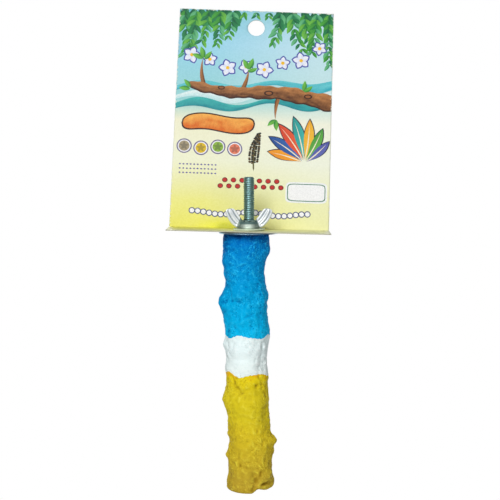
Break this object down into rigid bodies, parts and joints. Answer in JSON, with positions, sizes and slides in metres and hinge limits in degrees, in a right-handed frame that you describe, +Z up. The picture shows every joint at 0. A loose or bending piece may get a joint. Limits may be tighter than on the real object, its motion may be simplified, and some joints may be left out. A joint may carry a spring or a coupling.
{
  "type": "bird perch",
  "caption": "Knobbly cast mineral bird perch in three colours on a wooden core, with a hanging stud, washers, wing nut and folded header card.",
  "frame": {"origin": "on the stud's axis, level with the top of the wing nut's boss, where the free end of the stud starts", "axes": "+Z up along the stud, +X to the right of the card's printed face, +Y behind it"},
  "size_m": [0.1004, 0.0789, 0.2878],
  "materials": {
    "cast_blue": "rough cast, slightly glossy",
    "cast_white": "rough cast, slightly glossy",
    "cast_yellow": "rough cast, slightly glossy",
    "core_wood": "plain",
    "zinc_steel": "zinc plated",
    "bright_zinc": "bright zinc plated",
    "printed_board": "printed, satin"
  },
  "bodies": {
    "perch": {"blue_section": "cast_blue", "white_section": "cast_white", "yellow_section": "cast_yellow", "wood_core": "core_wood", "hanger_bolt": "zinc_steel"},
    "wide_washer": {"perch_washer": "zinc_steel"},
    "shelf": {"card_shelf": "printed_board"},
    "panel": {"card_panel": "printed_board"},
    "small_washer": {"nut_washer": "zinc_steel"},
    "nut": {"wing_nut": "bright_zinc"}
  },
  "joints": [
    {"name": "washer_turn", "type": "hinge", "parent": "perch", "child": "wide_washer", "pos_m": [0, 0, 0], "axis": [0, 0, 1], "continuous": true},
    {"name": "card_swivel", "type": "hinge", "parent": "perch", "child": "shelf", "pos_m": [0, 0, 0], "axis": [0, 0, 1], "continuous": true},
    {"name": "card_fold", "type": "hinge", "parent": "shelf", "child": "panel", "pos_m": [0, 0.0155, -0.00614], "axis": [0.9997, 0, -0.0262], "range_deg": [-71, 19]},
    {"name": "nut_travel", "type": "slide", "parent": "perch", "child": "small_washer", "axis": [0, 0, 1], "range_m": [0, 0.02286]},
    {"name": "nut_turn", "type": "hinge", "parent": "small_washer", "child": "nut", "pos_m": [0, 0, 0], "axis": [0, 0, 1], "range_deg": [0, 6480]}
  ],
  "couplings": [
    {"joint": "nut_travel", "follows": "nut_turn", "m_per_rad": 0.00020213}
  ]
}
